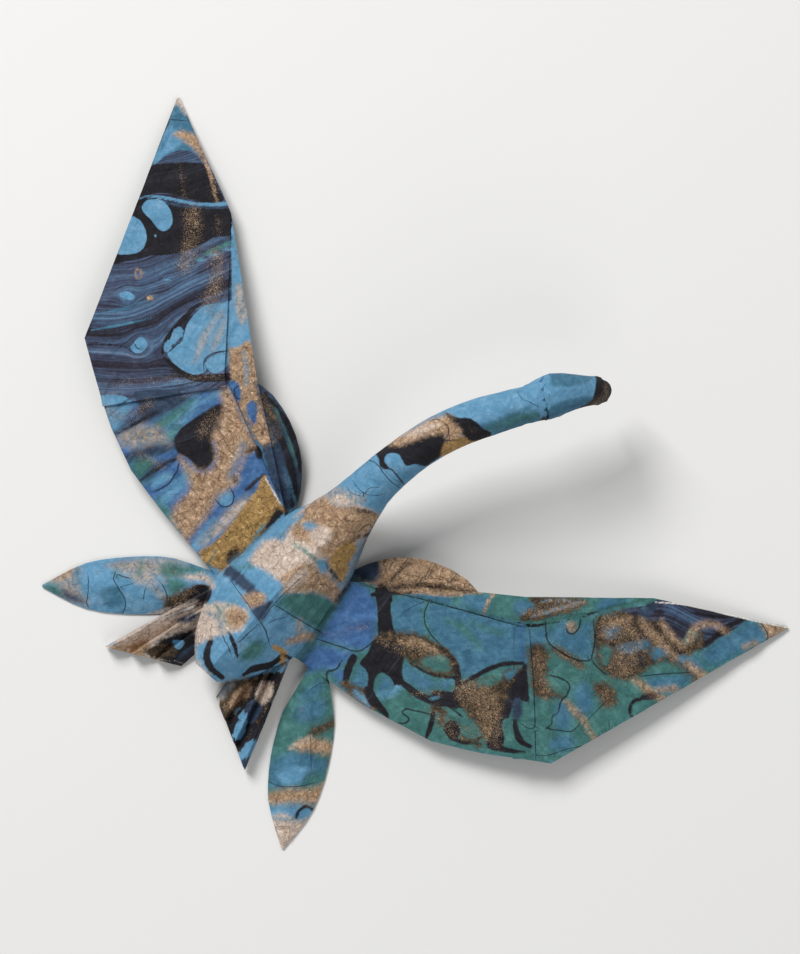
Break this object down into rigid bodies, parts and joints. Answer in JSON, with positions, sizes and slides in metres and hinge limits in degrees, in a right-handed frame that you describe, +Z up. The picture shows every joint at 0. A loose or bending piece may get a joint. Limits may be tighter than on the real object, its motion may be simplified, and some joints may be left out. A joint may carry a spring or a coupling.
{
  "type": "folded paper crane",
  "caption": "Origami crane folded from one sheet of marbled paper, with forward-swept wings, a bent neck, leaf-shaped flaps and pleated tail fans.",
  "frame": {"origin": "middle of the crane's outline seen from above, on the table it lies on", "axes": "+Z up, +Y forward along the body towards the neck, +X to the crane's right along the wing span"},
  "size_m": [0.3232, 0.2261, 0.0531],
  "materials": {
    "marbled_paper": "marbled in blue, teal, near-black and metallic gold, softly crinkled"
  },
  "bodies": {
    "root": {"folded_crane": "marbled_paper"}
  },
  "joints": []
}
